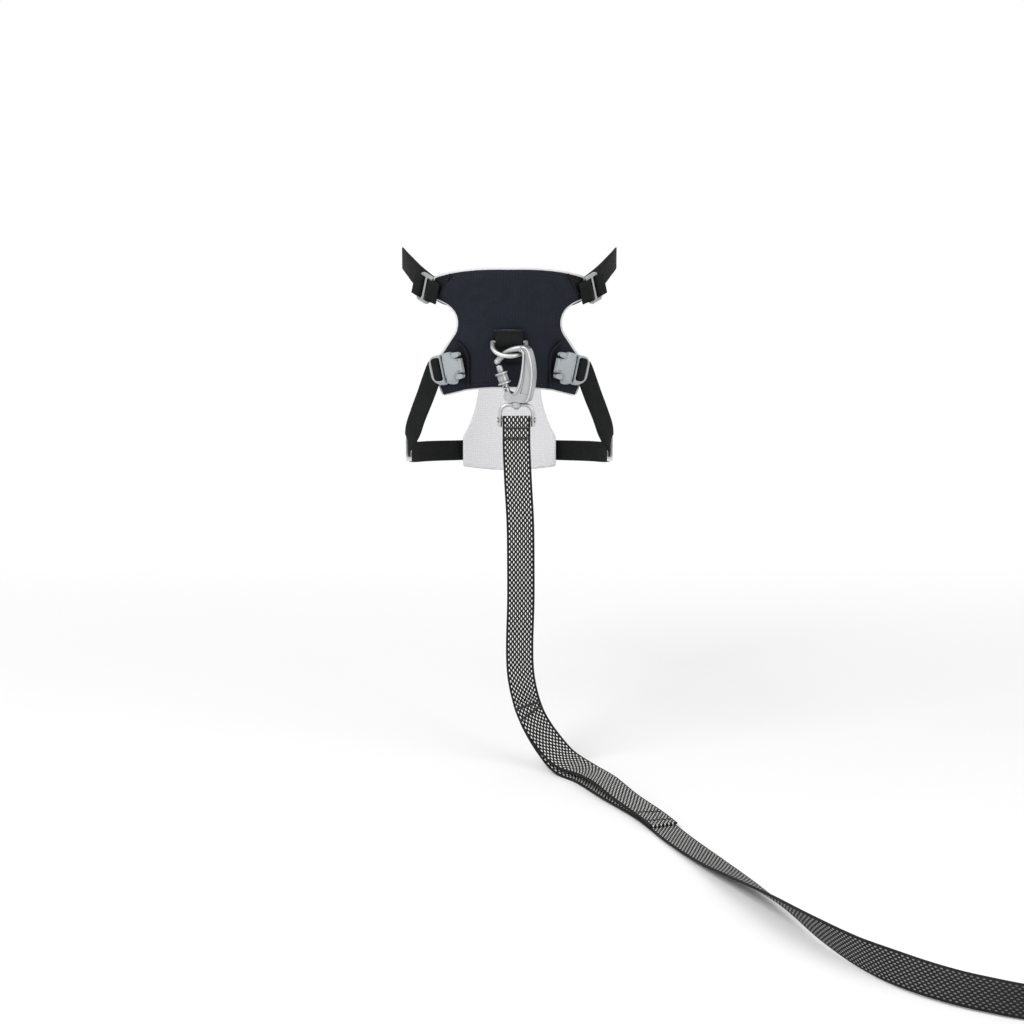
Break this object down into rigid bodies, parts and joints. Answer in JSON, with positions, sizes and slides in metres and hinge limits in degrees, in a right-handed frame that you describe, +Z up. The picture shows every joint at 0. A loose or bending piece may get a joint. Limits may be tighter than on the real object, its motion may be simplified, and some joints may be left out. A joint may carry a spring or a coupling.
{
  "type": "no pull harness",
  "caption": "Padded no-pull dog harness with neck and girth webbing, side-release buckles, back and chest leash rings, and a clipped-on woven lead with a screw-lock carabiner",
  "frame": {"origin": "middle of the body that the harness is fastened round, level with the waist of the back panel", "axes": "+Z up along the spine towards the neck, -Y out of the back panel, +X to the right as the back panel is seen"},
  "size_m": [0.7291, 0.8072, 0.4633],
  "materials": {
    "padded_fabric": "fine vertical weave, matte",
    "mesh_lining": "fine white mesh",
    "foam": "soft closed-cell foam, hidden",
    "webbing_black": "plain woven nylon",
    "lead_webbing": "woven nylon with light reflective dashes",
    "buckle_plastic": "light grey moulded plastic",
    "satin_metal": "satin plated zinc alloy"
  },
  "bodies": {
    "harness": {"back_cover": "padded_fabric", "back_foam": "foam", "back_lining": "mesh_lining", "back_piping_left": "padded_fabric", "back_piping_right": "padded_fabric", "back_ring_tab": "webbing_black", "neck_anchor_left": "webbing_black", "neck_anchor_right": "webbing_black", "neck_slider_left": "satin_metal", "neck_slider_right": "satin_metal", "neck_strap_left": "webbing_black", "neck_strap_right": "webbing_black", "buckle_anchor_left": "webbing_black", "buckle_anchor_right": "webbing_black", "buckle_socket_left": "buckle_plastic", "buckle_socket_right": "buckle_plastic", "buckle_frame_left": "buckle_plastic", "buckle_frame_right": "buckle_plastic", "girth_strap_left": "webbing_black", "girth_strap_right": "webbing_black", "chest_cover": "padded_fabric", "chest_foam": "foam", "chest_lining": "mesh_lining", "chest_ring_tab": "webbing_black", "lead_webbing": "lead_webbing", "lead_traffic_handle": "lead_webbing", "lead_hand_loop": "lead_webbing"},
    "back_ring": {"back_ring": "satin_metal"},
    "chest_ring": {"chest_ring": "satin_metal"},
    "carabiner": {"carabiner_body": "satin_metal", "gate_pin": "satin_metal", "swivel_stud": "satin_metal"},
    "gate": {"carabiner_gate": "satin_metal"},
    "sleeve": {"lock_sleeve": "satin_metal"},
    "bow": {"swivel_bow": "satin_metal", "bow_pin": "satin_metal", "lead_end_loop": "lead_webbing"},
    "arm_upper_left": {"buckle_arm_upper_left": "buckle_plastic"},
    "arm_lower_left": {"buckle_arm_lower_left": "buckle_plastic"},
    "slider_left": {"girth_slider_left": "satin_metal"},
    "arm_upper_right": {"buckle_arm_upper_right": "buckle_plastic"},
    "arm_lower_right": {"buckle_arm_lower_right": "buckle_plastic"},
    "slider_right": {"girth_slider_right": "satin_metal"}
  },
  "joints": [
    {"name": "back_ring_lift", "type": "hinge", "parent": "harness", "child": "back_ring", "pos_m": [0, -0.106, 0.0275], "axis": [-1, 0, 0], "range_deg": [0, 2]},
    {"name": "chest_ring_lift", "type": "hinge", "parent": "harness", "child": "chest_ring", "pos_m": [0, 0.106, 0.004], "axis": [1, 0, 0], "range_deg": [0, 150]},
    {"name": "carabiner_turn", "type": "hinge", "parent": "harness", "child": "carabiner", "pos_m": [0.0065, -0.12235, -0.02353], "axis": [0, 0, 1], "range_deg": [-8, 0.5]},
    {"name": "gate_swing", "type": "hinge", "parent": "carabiner", "child": "gate", "pos_m": [-0.00008, -0.11969, -0.01873], "axis": [0.3746, 0.9272, 0], "range_deg": [0, 24], "stiffness_Nm_per_rad": 0.02, "springref_deg": -17.19},
    {"name": "sleeve_slide", "type": "slide", "parent": "gate", "child": "sleeve", "axis": [-0.3203, 0.1294, 0.9384], "range_m": [0, 0.005]},
    {"name": "bow_swivel", "type": "hinge", "parent": "harness", "child": "bow", "pos_m": [0.0065, -0.12235, -0.03353], "axis": [0, 0, 1], "continuous": true},
    {"name": "arm_upper_right_press", "type": "hinge", "parent": "harness", "child": "arm_upper_right", "pos_m": [0.05939, -0.08949, 0.00907], "axis": [0.5446, -0.8387, 0], "range_deg": [0, 8], "stiffness_Nm_per_rad": 0.02, "springref_deg": -5.73},
    {"name": "arm_lower_right_press", "type": "hinge", "parent": "harness", "child": "arm_lower_right", "pos_m": [0.0563, -0.0915, -0.00568], "axis": [0.5446, -0.8387, 0], "range_deg": [-8, 0], "stiffness_Nm_per_rad": 0.02, "springref_deg": 5.73},
    {"name": "arm_upper_left_press", "type": "hinge", "parent": "harness", "child": "arm_upper_left", "pos_m": [-0.05939, -0.08949, 0.00907], "axis": [0.5446, 0.8387, 0], "range_deg": [0, 8], "stiffness_Nm_per_rad": 0.02, "springref_deg": -5.73},
    {"name": "arm_lower_left_press", "type": "hinge", "parent": "harness", "child": "arm_lower_left", "pos_m": [-0.0563, -0.0915, -0.00568], "axis": [0.5446, 0.8387, 0], "range_deg": [-8, 0], "stiffness_Nm_per_rad": 0.02, "springref_deg": 5.73},
    {"name": "girth_slider_right_slide", "type": "slide", "parent": "harness", "child": "slider_right", "axis": [0.0332, 0.951, -0.3073], "range_m": [-0.012, 0.015]},
    {"name": "girth_slider_left_slide", "type": "slide", "parent": "harness", "child": "slider_left", "axis": [-0.0332, 0.951, -0.3073], "range_m": [-0.012, 0.015]}
  ],
  "couplings": [
    {"joint": "arm_lower_right_press", "follows": "arm_upper_right_press", "ratio": -1},
    {"joint": "arm_lower_left_press", "follows": "arm_upper_left_press", "ratio": -1}
  ]
}
